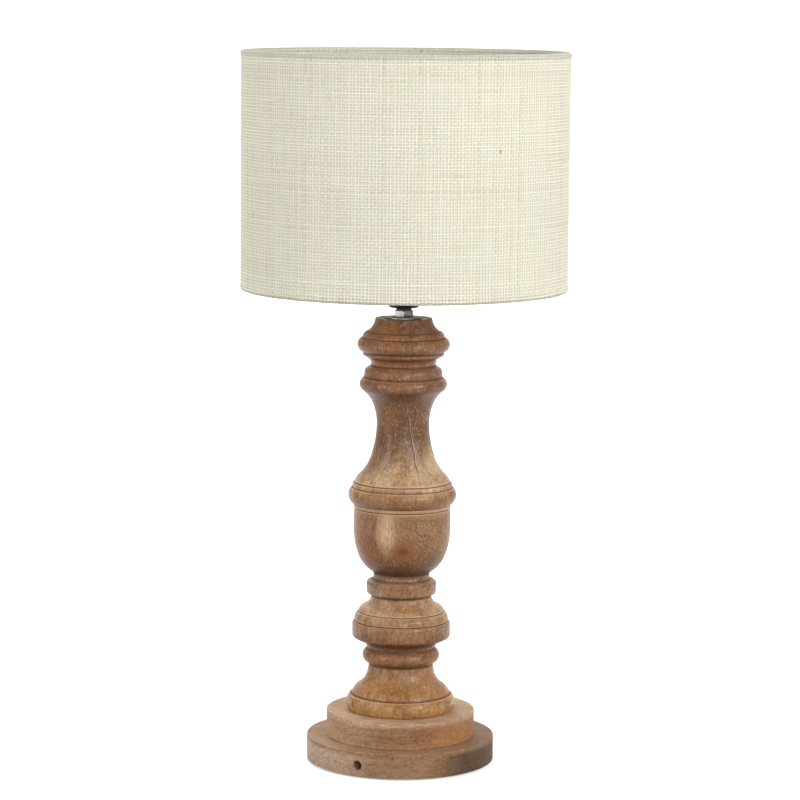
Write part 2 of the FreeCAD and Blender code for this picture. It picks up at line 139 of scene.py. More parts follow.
def wood_grain(look, along, pith, ring_scale, lean=(0.0, 0.0, 0.0)):
    """Growth rings, fibres and pores of wood whose grain runs along X or Z.

    Returns (rings, fibres, pores), each from 0 to 1. pith is where the tree's heart ran, as an
    offset across the grain, and lean turns the trunk's axis away from the piece's axis.
    """
    turn = {"X": (0.0, math.pi / 2, 0.0), "Z": (0.0, 0.0, 0.0)}[along]
    trunk = look.scaled(look.place, (1, 1, 1), turn=turn)
    trunk = look.scaled(trunk, (1, 1, 1), move=(*pith, 0.0), turn=lean)
    bend = look.node("ShaderNodeTexNoise", {"Vector": look.scaled(trunk, (14, 14, 5)), "Detail": 3.0})
    sway = look.node("ShaderNodeVectorMath", {0: bend.outputs["Color"], 1: (0.022, 0.022, 0.0)},
                     operation="MULTIPLY").outputs[0]
    bent = look.node("ShaderNodeVectorMath", {0: trunk, 1: sway}, operation="ADD").outputs[0]
    rings = look.node("ShaderNodeTexWave", {
        "Vector": bent, "Scale": ring_scale, "Distortion": 3.5, "Detail": 3.0, "Detail Scale": 2.2,
        "Detail Roughness": 0.6,
    }, wave_type="RINGS", rings_direction="Z", wave_profile="SIN").outputs["Fac"]
    fibres = look.noise(look.scaled(bent, (620, 620, 26)), detail=5.0, rough=0.66)
    dashes = look.noise(look.scaled(bent, (1500, 1500, 170)), detail=1.5)
    pores = look.ramp(dashes, (0.60, 0.0), (0.68, 1.0))
    return rings, fibres, pores


def spot(look, centre, radius, turn=(0, 0, 0)):
    """1 at a point on the piece, falling to 0 at a radius round it; there is a radius per axis."""
    local = look.scaled(look.place, (1, 1, 1), move=tuple(-c for c in centre))
    local = look.scaled(local, tuple(1 / r for r in radius), turn=turn)
    far = look.node("ShaderNodeVectorMath", {0: local}, operation="LENGTH").outputs["Value"]
    return look.math("SUBTRACT", 1.0, far, clamp=True)


FIGURE_TOP_Z = 0.45          # the column's colours are placed along 0 to 1 of this height


def column_wood():
    """Satin-lacquered hardwood: brown and mottled above, paler below, golden at the foot."""
    look = Look("column_wood")
    rings, fibres, pores = wood_grain(look, "Z", (0.035, 0.06), 55.0, (0.05, -0.2, 0.0))
    x, _, z = look.parts(look.place)
    patches = look.noise(look.scaled(look.place, (26, 26, 12)), detail=4.0, rough=0.6)
    cloudy = look.noise(look.scaled(look.place, (95, 95, 60), move=(3, 1, 2)), detail=4.0, rough=0.7)
    warm = look.noise(look.scaled(look.place, (34, 34, 15), move=(7, 5, 4)), detail=3.0, rough=0.55)

    # Sapwood: golden foot, brown flare, pale shoulder, dark urn, orange-brown ring, pale neck. The
    # pale shoulder is partly painted light on its upward face, and the dark urn is partly painted
    # shade under its bulge.
    height = look.math("ADD", z, look.math("MULTIPLY", patches, 0.03))
    height = look.math("DIVIDE", height, FIGURE_TOP_Z)
    sap_and_painted_shading = look.ramp(height, (0.15, colour(172, 128, 80)), (0.25, colour(130, 90, 58)),
                    (0.30, colour(115, 77, 48)), (0.36, colour(174, 140, 106)),
                    (0.45, colour(84, 55, 37)), (0.51, colour(136, 99, 67)),
                    (0.60, colour(137, 98, 66)), (0.63, colour(184, 156, 122)))
    ruddy = look.mix(0.5, sap_and_painted_shading, colour(134, 84, 46))
    sap_and_painted_shading = look.mix(look.ramp(warm, (0.47, 0.0), (0.66, 1.0)), sap_and_painted_shading, ruddy)
    # Heartwood above a slanting boundary, which the patches make uneven.
    level = look.math("ADD", z, look.math("MULTIPLY", x, -0.25))
    level = look.math("ADD", level, look.math("MULTIPLY", patches, 0.05))
    heart = look.ramp(level, (0.304, 0.0), (0.316, 0.6), (0.336, 1.0))
    ruddy_share = look.ramp(warm, (0.42, 0.0), (0.62, 1.0))
    core = look.mix(ruddy_share, colour(116, 81, 58), colour(132, 88, 56))
    # Darkest in the neck, and lighter upwards.
    depth = look.ramp(look.math("DIVIDE", z, FIGURE_TOP_Z), (0.69, 0.62), (0.75, 0.78),
                      (0.80, 0.96), (0.87, 1.22))
    core = look.mix(1.0, core, depth, "MULTIPLY")
    wood = look.mix(heart, sap_and_painted_shading, core)

    wood = look.mix(0.45, wood, look.ramp(rings, (0.1, 0.76), (0.9, 1.14)), "MULTIPLY")
    mottle = look.ramp(cloudy, (0.32, 0.58), (0.5, 0.87), (0.68, 1.14))
    wood = look.mix(0.85, wood, mottle, "MULTIPLY")
    # The urn's figure: an orange patch, a pale slanting band, crossing pores, and a knot.
    orange = spot(look, (-0.031, -0.034, 0.208), (0.020, 0.04, 0.034))
    wood = look.mix(look.math("MULTIPLY", orange, 1.3, clamp=True), wood, colour(122, 76, 46))
    band = spot(look, (-0.014, -0.045, 0.223), (0.012, 0.04, 0.028), (0.0, math.radians(22), 0.0))
    wood = look.mix(look.math("MULTIPLY", band, 1.4, clamp=True), wood, colour(182, 150, 118))
    lattice = spot(look, (0.021, -0.043, 0.224), (0.032, 0.04, 0.030))
    wood = look.mix(look.math("MULTIPLY", lattice, 1.2, clamp=True), wood, colour(142, 106, 74))
    slant = look.scaled(look.place, (1, 1, 1), turn=(0.0, math.radians(58), 0.0))
    slanting = look.noise(look.scaled(slant, (520, 300, 45)), detail=3.0, rough=0.6)
    strokes = look.math("MULTIPLY", look.ramp(slanting, (0.50, 0.0), (0.60, 1.0)), lattice)
    wood = look.mix(look.math("MULTIPLY", strokes, 1.6, clamp=True), wood, colour(98, 66, 42))
    grain = look.mix(look.math("MULTIPLY", lattice, 2.0, clamp=True), fibres, slanting)
    wood = look.mix(0.8, wood, look.ramp(grain, (0.28, 0.56), (0.5, 1.0), (0.74, 1.3)), "MULTIPLY")
    grit = look.noise(look.scaled(look.place, (560, 560, 150), move=(5, 1, 9)), detail=2.0, rough=0.7)
    wood = look.mix(0.5, wood, look.ramp(grit, (0.36, 0.62), (0.5, 1.0), (0.64, 1.42)), "MULTIPLY")
    wood = look.mix(look.math("MULTIPLY", pores, 0.55), wood, colour(72, 44, 28))
    flecks = look.noise(look.scaled(look.place, (1100, 1100, 420), move=(2, 8, 5)), detail=1.0)
    wood = look.mix(look.ramp(flecks, (0.60, 0.0), (0.70, 0.55)), wood, colour(196, 156, 108))

    knot = spot(look, (0.0015, -0.045, 0.2056), (0.017, 0.03, 0.0135))
    swirl = look.math("SINE", look.math("MULTIPLY", look.math("ADD", knot, cloudy), 21.0))
    swirl = look.math("MULTIPLY", swirl, 0.4, clamp=True)
    halo = look.mix(swirl, colour(128, 82, 50), colour(106, 64, 40))
    wood = look.mix(look.ramp(knot, (0.1, 0.0), (0.5, 0.75)), wood, halo)
    wood = look.mix(look.ramp(knot, (0.62, 0.0), (0.85, 0.8)), wood, colour(98, 46, 26))
    # Convex edges are lightened, a painted highlight together with rubbed wear, and the quirks are
    # darkened, painted shade together with gathered stain. The crack has one pale lip, and the wood
    # beside the foot's split is stained. The crack and the split are painted dark, painted shade in
    # the slits.
    wood = look.mix(look.attribute("edge"), wood, colour(196, 158, 120))
    uneven = look.ramp(cloudy, (0.3, 0.6), (0.6, 1.0))
    quirk_shade_and_stain = look.math("MULTIPLY", look.attribute("quirk"), uneven)
    wood = look.mix(quirk_shade_and_stain, wood, colour(74, 43, 26))
    wood = look.mix(look.attribute("lips"), wood, colour(190, 156, 118))
    wood = look.mix(look.attribute("stain"), wood, colour(122, 66, 40))
    wood = look.mix(look.attribute("crack"), wood, colour(52, 32, 22))
    look.set(Base_Color=wood)
    dull = look.math("MULTIPLY", look.attribute("quirk"), 0.35)
    satin = look.ramp(grain, (0.3, 0.34), (0.75, 0.5))
    look.set(Roughness=look.math("ADD", satin, dull, clamp=True))
    look.set(Coat_Weight=0.14, Coat_Roughness=0.2, Specular_IOR_Level=0.2)
    look.bump(look.math("SUBTRACT", look.math("MULTIPLY", grain, 0.5), pores), 0.00015, 0.7)
    return look.material


def plinth_wood():
    """Matt oiled boards, their grain level and running across the front."""
    look = Look("plinth_wood")
    rings, fibres, pores = wood_grain(look, "X", (0.02, 0.05), 46.0, (0.03, 0.07, 0.0))
    x, _, z = look.parts(look.place)
    patches = look.noise(look.scaled(look.place, (16, 16, 40)), detail=4.0, rough=0.6)
    upper = look.ramp(z, (0.0236, 0.0), (0.0246, 1.0))
    across = look.math("ADD", look.math("MULTIPLY", x, 5.0), 0.5)
    high = look.ramp(across, (0.25, colour(160, 128, 98)), (0.42, colour(137, 101, 71)),
                     (0.58, colour(137, 99, 67)), (0.72, colour(150, 106, 68)))
    # The lower board's side darkens towards its right end: painted shade.
    low = look.ramp(across, (0.15, colour(182, 154, 132)), (0.36, colour(146, 114, 86)),
                    (0.60, colour(140, 107, 78)), (0.80, colour(76, 56, 40)))
    wood = look.mix(upper, low, high)
    # The boards' top faces are painted paler than their sides: painted light from above.
    painted_light_tops = look.ramp(z, (0.0231, 0.0), (0.0235, 1.0), (0.0236, 1.0), (0.0240, 0.0), (0.0464, 0.0),
                     (0.0468, 1.0))
    wood = look.mix(painted_light_tops, wood, look.mix(upper, colour(134, 102, 74), colour(174, 145, 116)))
    wood = look.mix(0.4, wood, look.ramp(rings, (0.1, 0.75), (0.9, 1.15)), "MULTIPLY")
    wood = look.mix(0.8, wood, look.ramp(patches, (0.3, 0.78), (0.5, 1.0), (0.7, 1.16)), "MULTIPLY")
    wood = look.mix(0.9, wood, look.ramp(fibres, (0.28, 0.5), (0.5, 1.0), (0.74, 1.35)), "MULTIPLY")
    grit = look.noise(look.scaled(look.place, (130, 560, 560), move=(5, 1, 9)), detail=2.0, rough=0.7)
    wood = look.mix(0.4, wood, look.ramp(grit, (0.36, 0.7), (0.5, 1.0), (0.64, 1.32)), "MULTIPLY")
    wood = look.mix(look.math("MULTIPLY", pores, 0.5), wood, colour(84, 58, 42))

    orange = look.math("MULTIPLY", spot(look, (0.045, -0.055, 0.036), (0.045, 0.06, 0.03)), upper)
    wood = look.mix(look.math("MULTIPLY", orange, 0.3, clamp=True), wood, colour(146, 96, 54))
    figure = spot(look, (0.020, -0.068, 0.036), (0.017, 0.03, 0.008), (0.0, math.radians(-35), 0.0))
    bands = look.math("SINE", look.math("MULTIPLY", look.math("ADD", figure, fibres), 22.0))
    figured = look.mix(look.math("MULTIPLY", bands, 0.8, clamp=True), wood, colour(84, 52, 32))
    wood = look.mix(look.math("MULTIPLY", figure, 2.2, clamp=True), wood, figured)
    fleck = spot(look, (-0.0068, -0.0875, 0.021), (0.0016, 0.006, 0.0016))
    wood = look.mix(look.ramp(fleck, (0.3, 0.0), (0.6, 0.9)), wood, colour(44, 28, 20))
    look.set(Base_Color=wood)
    look.set(Roughness=look.ramp(fibres, (0.3, 0.56), (0.8, 0.72)))
    look.set(Specular_IOR_Level=0.25)
    look.bump(look.math("SUBTRACT", fibres, pores), 0.0002, 0.8)
    return look.material


def cloth():
    """Bleached jute yarn: twisted fibres, each yarn a little different in tone."""
    look = Look("cloth", Roughness=0.85)
    tone = look.attribute("tone")
    along = look.attribute("fibre", "Vector")
    fibres = look.noise(look.scaled(along, (1.0, 9.0, 1.0)), detail=3.0, rough=0.7)
    yarn = look.ramp(tone, (0.0, colour(112, 98, 72)), (0.12, colour(196, 188, 162)),
                     (0.5, colour(230, 226, 206)), (1.0, colour(246, 243, 226)))
    # Painted shade: the rolled top rim is tinted grey where it faces up, and each yarn's flanks are
    # darkened.
    yarn = look.mix(look.attribute("rolled"), yarn, colour(224, 229, 230), "MULTIPLY")
    yarn = look.mix(look.attribute("flank"), yarn, colour(166, 163, 150), "MULTIPLY")
    hairs = look.ramp(fibres, (0.3, 0.86), (0.6, 1.0))
    look.set(Base_Color=look.mix(0.8, yarn, hairs, "MULTIPLY"))
    look.set(Sheen_Weight=0.15, Sheen_Roughness=0.5)
    look.bump(fibres, 0.0003, 0.8)
    return look.material


def either_side(base, spread):
    """A darker and a lighter colour, spread screen values below and above the base."""
    return colour(*(max(0, c - spread) for c in base)), colour(*(min(255, c + spread) for c in base))


def speckled(name, base, spread, rough, scale=400.0, dent=0.00003, **shader):
    """Even finish with slight changes of tone, gloss and surface; base is a screen colour."""
    look = Look(name, **shader)
    grain = look.noise(look.scaled(look.place, (scale,) * 3), detail=3.0)
    wide = look.noise(look.scaled(look.place, (scale / 12,) * 3), detail=2.0)
    dark, light = either_side(base, spread)
    both = look.math("ADD", look.math("MULTIPLY", wide, 0.6), look.math("MULTIPLY", grain, 0.4))
    look.set(Base_Color=look.ramp(both, (0.3, dark), (0.7, light)))
    look.set(Roughness=look.ramp(grain, (0.3, rough * 0.85), (0.7, rough * 1.15)))
    look.bump(grain, dent)
    return look.material


def turned_metal(name, base, spread, rough):
    """Metal with the fine rings that a lathe leaves about the lamp's axis."""
    look = Look(name, Metallic=1.0)
    x, y, z = look.parts(look.place)
    squares = look.math("ADD", look.math("MULTIPLY", x, x), look.math("MULTIPLY", y, y))
    radius = look.math("SQRT", squares)
    swept = look.node("ShaderNodeCombineXYZ", {0: radius, 1: z}).outputs[0]
    lines = look.noise(look.scaled(swept, (5000, 5000, 1)), detail=2.0)
    cloudy = look.noise(look.scaled(look.place, (130,) * 3), detail=3.0)
    dark, light = either_side(base, spread)
    look.set(Base_Color=look.ramp(cloudy, (0.3, dark), (0.7, light)))
    look.set(Roughness=look.ramp(lines, (0.3, rough * 0.7), (0.7, rough * 1.3)))
    look.bump(lines, 0.00002)
    return look.material


def felt():
    look = Look("felt", Roughness=0.95, Sheen_Weight=0.3)
    nap = look.noise(look.scaled(look.place, (900, 900, 900)), detail=4.0, rough=0.7)
    look.set(Base_Color=look.ramp(nap, (0.3, colour(26, 25, 24)), (0.7, colour(62, 60, 57))))
    look.bump(nap, 0.0004)
    return look.material


MATERIALS = {
    "column_wood": column_wood(),
    "plinth_wood": plinth_wood(),
    "cloth": cloth(),
    "felt": felt(),
    "zinc_steel": turned_metal("zinc_steel", (206, 206, 203), 10, 0.32),
    "dark_steel": turned_metal("dark_steel", (132, 126, 120), 16, 0.24),
    "brass": turned_metal("brass", (214, 180, 110), 12, 0.28),
    "cap_shell": turned_metal("cap_shell", (214, 213, 210), 9, 0.34),
    "solder": turned_metal("solder", (176, 177, 178), 14, 0.45),
    "wire_steel": speckled("wire_steel", (232, 232, 228), 5, 0.42, 900.0, 0.00006),
    "bakelite": speckled("bakelite", (20, 19, 19), 5, 0.2, 500.0, 0.00001),
    "porcelain": speckled("porcelain", (226, 221, 209), 6, 0.55, 350.0, 0.00004),
    "styrene": speckled("styrene", (228, 226, 214), 4, 0.5, 160.0, 0.00002),
    "bulb_glass": speckled("bulb_glass", (240, 240, 236), 3, 0.4, 120.0, 0.00001,
                           Subsurface_Weight=0.3, Subsurface_Scale=0.002),
    "bulb_body": speckled("bulb_body", (233, 233, 230), 4, 0.35, 300.0, 0.00001),
    "black_glass": speckled("black_glass", (24, 24, 28), 6, 0.12, 260.0, 0.00001),
    "board": speckled("board", (229, 229, 226), 5, 0.45, 700.0, 0.00002),
    "phosphor": speckled("phosphor", (232, 201, 84), 10, 0.5, 1500.0, 0.00004),
}


# ---------------------------------------------------------------- meshes
def mesh_object(name, points, faces, material, body):
    """A piece of the lamp with smooth shading, made of points and quads, riding on a CAD body."""
    mesh = bpy.data.meshes.new(name)
    mesh.from_pydata(points.tolist(), [], faces.tolist())
    mesh.polygons.foreach_set("use_smooth", np.ones(len(mesh.polygons), bool))
    obj = bpy.data.objects.new(name, mesh)
    bpy.context.scene.collection.objects.link(obj)
    mesh.materials.append(MATERIALS[material])
    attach(obj, body)
    return obj


def point_values(obj, name, values):
    """Stores one number, or one vector, on each point of the mesh."""
    kind, field = ("FLOAT", "value") if values.ndim == 1 else ("FLOAT_VECTOR", "vector")
    attribute = obj.data.attributes.new(name, kind, "POINT")
    attribute.data.foreach_set(field, values.astype(np.float32).ravel())


def grid_quads(rows, columns, wrap_rows=False, wrap_columns=False):
    """Quads between neighbours on a grid of points numbered row by row."""
    r = np.arange(rows if wrap_rows else rows - 1)
    c = np.arange(columns if wrap_columns else columns - 1)
    r, c = (a.ravel() for a in np.meshgrid(r, c, indexing="ij"))
    up, on = (r + 1) % rows, (c + 1) % columns
    return np.stack([r * columns + c, r * columns + on, up * columns + on, up * columns + c], 1)


def soft_noise(count, cells, loops=1):
    """Smooth random curves round a closed loop, one per row, with values of about -1 to 1."""
    knots = RNG.normal(0.0, 0.6, (loops, cells))
    at = np.arange(count) / count * cells
    low = np.floor(at).astype(int)
    blend = at - low
    blend = blend * blend * (3 - 2 * blend)
    return knots[:, low % cells] * (1 - blend) + knots[:, (low + 1) % cells] * blend


# ---------------------------------------------------------------- the shade's cloth
WARP_COUNT = 300             # upright yarns round the shade
WARP_HALF_W = 1.08 * MM
WEFT_PITCH = 2.83 * MM       # between the level yarns
WEFT_HALF_W = 0.94 * MM
YARN_HALF_T = 0.21 * MM
WEAVE_RISE = 0.16 * MM       # how far a yarn passes to each side of the cloth's middle
TURN_IN = 13.5 * MM          # the cloth turned in over a hoop
ROLL_R = 2.65 * MM           # the cloth's middle, round a hoop

wire_r = (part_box("top_hoop")[1].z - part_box("top_hoop")[0].z) / 2
HOOP_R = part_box("top_hoop")[1].x - wire_r
HIGH_HOOP_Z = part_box("top_hoop")[1].z - wire_r
LOW_HOOP_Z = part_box("bottom_hoop")[1].z - wire_r
CLOTH_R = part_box("shade_liner")[1].x + 0.6 * MM
TAIL_R = CLOTH_R - 1.8 * MM


def cloth_path():
    """(radius, height) of the cloth's middle every 0.1 mm, from one turned-in edge to the other."""
    angles = np.linspace(math.radians(215), math.radians(-25), 80)
    roll = np.stack([HOOP_R + ROLL_R * np.cos(angles), ROLL_R * np.sin(angles)], 1)
    tail = [[TAIL_R, -TURN_IN], [TAIL_R, -4.5 * MM]]
    top = np.vstack([tail, roll, [[CLOTH_R, -5.0 * MM]]])
    bottom = top[::-1] * (1, -1)
    corners = np.vstack([top + (0, HIGH_HOOP_Z), bottom + (0, LOW_HOOP_Z)])
    run = np.concatenate([[0], np.cumsum(np.hypot(*np.diff(corners, axis=0).T))])
    fine = np.arange(0, run[-1], 0.1 * MM)
    return np.stack([np.interp(fine, run, corners[:, i]) for i in (0, 1)], 1), fine


def at_path(path, run, where):
    """Radius, height and outward normal of the cloth's middle at distances along its path."""
    r, z = (np.interp(where, run, path[:, i]) for i in (0, 1))
    step = 0.6 * MM
    ahead = [np.interp(where + step, run, path[:, i]) for i in (0, 1)]
    behind = [np.interp(where - step, run, path[:, i]) for i in (0, 1)]
    dr, dz = ahead[0] - behind[0], ahead[1] - behind[1]
    size = np.hypot(dr, dz)
    return r, z, -dz / size, dr / size


def on_top_roll(z):
    """1 on the cloth that is rolled over the top hoop, and 0 from 2 mm below the hoop's middle."""
    return np.clip((z - HIGH_HOOP_Z) / MM + 2, 0, 1)


def yarn_widths(loops, count):
    """Width of each yarn along its length: each has its own, with slow changes and rare slubs."""
    each = np.exp(RNG.normal(0, 0.06, (loops, 1)))
    slow = 1 + 0.09 * soft_noise(count, max(4, count // 7), loops)
    slubs = soft_noise(count, max(4, count // 3), loops)
    return each * slow + 0.5 * np.clip(slubs - 1.2, 0, 1)


def yarn_tones(loops, count):
    """Tone of each yarn along its length, 0.55 on average; a few short stretches are dark."""
    tone = 0.55 + RNG.normal(0, 0.06, (loops, 1)) + 0.09 * soft_noise(count, max(4, count // 5), loops)
    for _ in range(loops * count // 5000):
        loop, at = RNG.integers(loops), RNG.integers(count - 1)
        tone[loop, at:at + RNG.integers(1, 3)] = 0.05
    return np.clip(tone, 0, 1)


def yarns(name, centre, out, side, half_w, rolled, closed):
    """Rows of centre points made into flattened yarns, whose round side faces 'out'.

    The cloth is glued to its liner, so a yarn has no inner side. side is across the yarn, so that
    out is on the right of the way from its positive edge to its negative one.
    """
    loops, count = centre.shape[:2]
    widths = yarn_widths(loops, count)
    tones = yarn_tones(loops, count)
    w = (half_w * widths)[..., None]
    t = (YARN_HALF_T * np.sqrt(widths))[..., None]
    section = [(1.0, -0.7), (0.5, 0.8), (-0.5, 0.8), (-1.0, -0.7)]
    points = np.stack([centre + side * w * across + out * t * up for across, up in section], 2)
    strip = grid_quads(count, 4, wrap_rows=closed)
    faces = (strip[None] + (np.arange(loops) * count * 4)[:, None, None]).reshape(-1, 4)
    obj = mesh_object(name, points.reshape(-1, 3), faces, "cloth", "shade")
    # flank marks a yarn's two edges, darkened as painted shade of the gap beside it. rolled marks the
    # top rim, tinted grey as painted shade where it faces up. fibre is the place along, across and
    # from yarn to yarn, for the fibres' pattern.
    point_values(obj, "tone", np.repeat(tones.ravel(), 4))
    point_values(obj, "rolled", np.repeat(np.broadcast_to(rolled, tones.shape).ravel(), 4))
    point_values(obj, "flank", np.tile([1.0, 0.0, 0.0, 1.0], tones.size))
    loop, along, across = np.indices((loops, count, 4)).astype(float)
    fibre = np.stack([along * 1.3 + loop * 7.7, across + along * 0.35, loop], -1)
    point_values(obj, "fibre", fibre.reshape(-1, 3))
    return obj


def weave_shade():
    """The cloth of the shade: upright yarns that go over and under level ones."""
    path, run = cloth_path()
    count = 2 * round(run[-1] / WEFT_PITCH / 2)
    cross = np.linspace(0.5 * MM, run[-1] - 0.5 * MM, count)
    round_hoop = (path[:, 1] > HIGH_HOOP_Z - 1.5 * MM) | (path[:, 1] < LOW_HOOP_Z + 1.5 * MM)
    middles = (cross[1:] + cross[:-1]) / 2
    middles = middles[np.interp(middles, run, round_hoop) > 0.5]
    stations = np.concatenate([cross, middles])
    phase = np.concatenate([(-1.0) ** np.arange(count), np.zeros(len(middles))])
    order = np.argsort(stations)
    stations, phase = stations[order], phase[order]

    turns = np.arange(WARP_COUNT) * 2 * math.pi / WARP_COUNT
    sign = (-1.0) ** np.arange(WARP_COUNT)
    sway = RNG.normal(0, 0.04, (WARP_COUNT, 1)) + 0.09 * soft_noise(len(stations), 16, WARP_COUNT)
    angle = turns[:, None] + sway * 2 * math.pi / WARP_COUNT
    r, z, nr, nz = at_path(path, run, stations)
    lift = WEAVE_RISE * sign[:, None] * phase
    radius = r + nr * lift
    cos, sin, level = np.cos(angle), np.sin(angle), 0 * angle
    centre = np.stack([radius * cos, radius * sin, z + nz * lift], -1)
    out = np.stack([nr * cos, nr * sin, nz + level], -1)
    side = np.stack([-sin, cos, level], -1)
    warp = yarns("cloth_warp", centre, out, side, WARP_HALF_W, on_top_roll(z), False)

    sway = RNG.normal(0, 0.04, (count, 1)) + 0.09 * soft_noise(WARP_COUNT, 40, count)
    r, z, nr, nz = at_path(path, run, cross[:, None] + WEFT_PITCH * sway)
    lift = -WEAVE_RISE * sign * ((-1.0) ** np.arange(count))[:, None]
    radius = r + nr * lift
    cos, sin = np.cos(turns), np.sin(turns)
    centre = np.stack([radius * cos, radius * sin, z + nz * lift], -1)
    out = np.stack([nr * cos, nr * sin, nz], -1)
    side = np.stack([-nz * cos, -nz * sin, nr], -1)
    weft = yarns("cloth_weft", centre, out, side, WEFT_HALF_W, on_top_roll(z), True)
    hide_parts("shade_cloth", "top_hem", "bottom_hem")


# ---------------------------------------------------------------- the turned column
OUTLINE_STEP = 1.6 * MM      # the longest step between points up the column
COLUMN_COLUMNS = 104         # even columns of points; more are put in at the crack and the split
BORE_R = 5.75 * MM
CRACK_TOP_Z = 0.352
CRACK_LOW_Z = 0.270
CRACK_END_TURN = 23.0        # degrees that the crack winds to the right on its way down
CRACK_HALF_W = 0.42 * MM
CRACK_DEPTH = 0.5 * MM
LIP_OFF = 0.75 * MM          # the pale lip, to the right of the crack
SPLIT_TURN = -62.0           # degrees from the front, towards the left
SPLIT_Z = 0.0565
SPLIT_HALF_W = 1.2 * MM
SPLIT_HALF_H = 3.2 * MM
SPLIT_DEPTH = 3.0 * MM


def cad_outline(node):
    """Outer outline of a turned CAD node as (radius, height), from its bottom edge to its top."""
    mesh = frame["nodes"][node].data
    key = {}
    points = []
    index = []
    for v in mesh.vertices:
        k = (round(v.co.x, 6), round(v.co.y, 6), round(v.co.z, 6))
        if k not in key:
            key[k] = len(points)
            points.append(k)
        index.append(key[k])
    points = np.array(points)
    level = {i for i, p in enumerate(points) if abs(p[1]) < 1e-6 and p[0] > 0}
    links = {}
    for edge in mesh.edges:
        a, b = (index[i] for i in edge.vertices)
        if a in level and b in level and a != b:
            links.setdefault(a, set()).add(b)
            links.setdefault(b, set()).add(a)
    low = min(level, key=lambda i: (round(points[i][2], 5), -points[i][0]))
    bore = points[:, 0][list(level)].min() + 1e-5
    walk = [low]
    here = next(i for i in links[low] if points[i][0] > bore or points[i][2] > points[low][2])
    while points[here][0] > bore:
        walk.append(here)
        here = next(i for i in links[here] if i not in walk[-2:])
    return points[walk][:, [0, 2]]


def worn_outline(outline):
    """The outline with its corners worn round, and how sharply it turns in (+) or out (-) there."""
    points, turning = [outline[0]], [0.0]
    for before, here, after in zip(outline[:-2], outline[1:-1], outline[2:]):
        back, ahead = before - here, after - here
        lengths = np.hypot(*back), np.hypot(*ahead)
        bend = math.atan2(back[0] * ahead[1] - back[1] * ahead[0], -(back @ ahead))
        if abs(bend) < math.radians(15):
            points.append(here)
            turning.append(0.0)
            continue
        for way, length, reaches in ((back, lengths[0], (1.3, 0.5, 0.18)),
                                     (ahead, lengths[1], (0.18, 0.5, 1.3))):
            for reach in reaches:
                if reach * MM < length * 0.45:
                    points.append(here + way / length * reach * MM)
                    turning.append(bend * (1.2 - 0.8 * reach))
    points.append(outline[-1])
    turning.append(0.0)
    points, turning = np.array(points), np.array(turning)
    steps = np.hypot(*np.diff(points, axis=0).T)
    run = np.concatenate([[0], np.cumsum(steps)])
    extra = [np.linspace(a, b, int((b - a) / OUTLINE_STEP) + 2)[1:-1]
             for a, b in zip(run[:-1], run[1:])]
    full = np.sort(np.concatenate([run, *extra]))
    fine = np.stack([np.interp(full, run, points[:, i]) for i in (0, 1)], 1)
    return fine, np.interp(full, run, turning)


def make_column():
    """The column turned again with its crack and its foot's split cut in."""
    profile, turning = worn_outline(cad_outline("turned_column"))
    crack_turns = np.radians(np.arange(-3.0, 27.0, 0.45))
    split_turns = np.radians(SPLIT_TURN + np.arange(-4.0, 4.1, 0.5))
    even = np.linspace(-math.pi, math.pi, COLUMN_COLUMNS, endpoint=False)
    taken = np.concatenate([crack_turns, split_turns])
    clear = np.abs(even[:, None] - taken).min(1) > math.radians(1.2)
    angle = np.sort(np.concatenate([even[clear], taken]))
    angle, row = np.meshgrid(angle, np.arange(len(profile)))
    r, z = profile[row, 0], profile[row, 1]

    down = (CRACK_TOP_Z - z) / (CRACK_TOP_Z - CRACK_LOW_Z)
    inside = ((down > 0) & (down < 1)) * np.sin(np.clip(down, 0, 1) * math.pi) ** 0.4
    wobble = 0.012 * np.sin(z * 410) + 0.006 * np.sin(z * 1130)
    winding = np.sin(np.clip(down / 0.9, 0, 1) * math.pi / 2) ** 1.1
    crack_at = math.radians(CRACK_END_TURN) * winding + wobble
    off = (angle - crack_at) * r
    crack = np.exp(-(off / CRACK_HALF_W) ** 2) * inside
    lips = np.exp(-((off - LIP_OFF) / CRACK_HALF_W) ** 2) * inside

    split_x = (angle - math.radians(SPLIT_TURN)) * r + 0.35 * MM * np.sin(z * 1500)
    split_z = z - SPLIT_Z
    split = np.clip(1.15 - (split_x / SPLIT_HALF_W) ** 2 - (split_z / SPLIT_HALF_H) ** 2, 0, 1)
    stain = np.exp(-((split_x - 4 * MM) / (4.0 * MM)) ** 2 - (split_z / (4.5 * MM)) ** 2)

    radius = r - CRACK_DEPTH * crack - SPLIT_DEPTH * split ** 0.6
    points = np.stack([radius * np.sin(angle), -radius * np.cos(angle), z], -1).reshape(-1, 3)
    rows, columns = angle.shape
    bore = np.stack([BORE_R * np.sin(angle[0]), -BORE_R * np.cos(angle[0])], 1)
    levels = [np.column_stack([bore, np.full(columns, level)]) for level in profile[[-1, 0], 1]]
    points = np.vstack([points, *levels])
    faces = grid_quads(rows + 2, columns, wrap_rows=True, wrap_columns=True)
    column = mesh_object("column", points, faces, "column_wood", "stand")
    pad = np.zeros(2 * columns)    # the bore's points carry no marks
    # quirk darkens the concave corners (painted shade with stain), edge lightens the convex ones
    # (painted highlight with wear), crack darkens the slits (painted shade).
    marks = {
        "crack": np.maximum(crack, split),
        "lips": lips * 0.5,
        "stain": stain * 0.6,
        "quirk": np.clip(1.3 * turning[row], 0, 0.95),
        "edge": np.clip(-turning[row] * 0.6, 0, 0.5),
    }
    for name, value in marks.items():
        point_values(column, name, np.concatenate([value.ravel(), pad]))
    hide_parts("turned_column")


